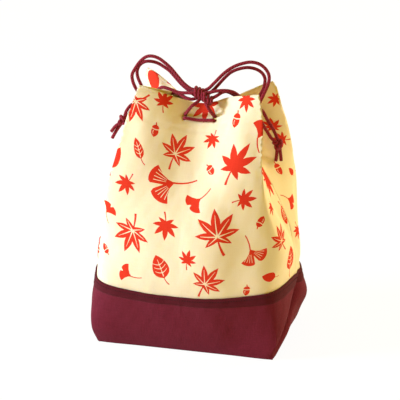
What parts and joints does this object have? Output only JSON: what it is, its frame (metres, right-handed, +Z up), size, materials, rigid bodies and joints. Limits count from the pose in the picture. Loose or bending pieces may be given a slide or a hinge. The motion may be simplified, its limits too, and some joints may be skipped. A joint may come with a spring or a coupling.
{
  "type": "kinchaku drawstring pouch",
  "caption": "Soft boxed drawstring pouch: printed upper cloth on a plain base, tucked sides, gathered mouth and knotted drawcords pulled up into a bow.",
  "frame": {"origin": "middle of the flat bottom, on the surface that it stands on", "axes": "+Z up towards the mouth, +X to the right along the long side of the base, -Y to the front"},
  "size_m": [0.2052, 0.1238, 0.2936],
  "materials": {
    "base_cloth": "plain weave, maroon",
    "printed_cloth": "soft printed cloth, cream with red",
    "cord_braid": "round braid, dark maroon"
  },
  "bodies": {
    "root": {"base": "base_cloth", "upper_front": "printed_cloth", "upper_back": "printed_cloth", "left_handle_outer": "cord_braid", "left_handle_inner": "cord_braid", "right_handle_outer": "cord_braid", "right_handle_inner": "cord_braid", "left_loop": "cord_braid", "right_loop": "cord_braid", "front_run": "cord_braid", "front_bight_left": "cord_braid", "front_bight_right": "cord_braid", "right_leg_front": "cord_braid", "right_leg_back": "cord_braid", "left_leg_front": "cord_braid", "left_leg_back": "cord_braid", "right_tail_a": "cord_braid", "right_tail_b": "cord_braid", "left_tail_a": "cord_braid", "left_tail_b": "cord_braid", "right_knot": "cord_braid", "left_knot": "cord_braid", "bow_wrap": "cord_braid"}
  },
  "joints": []
}
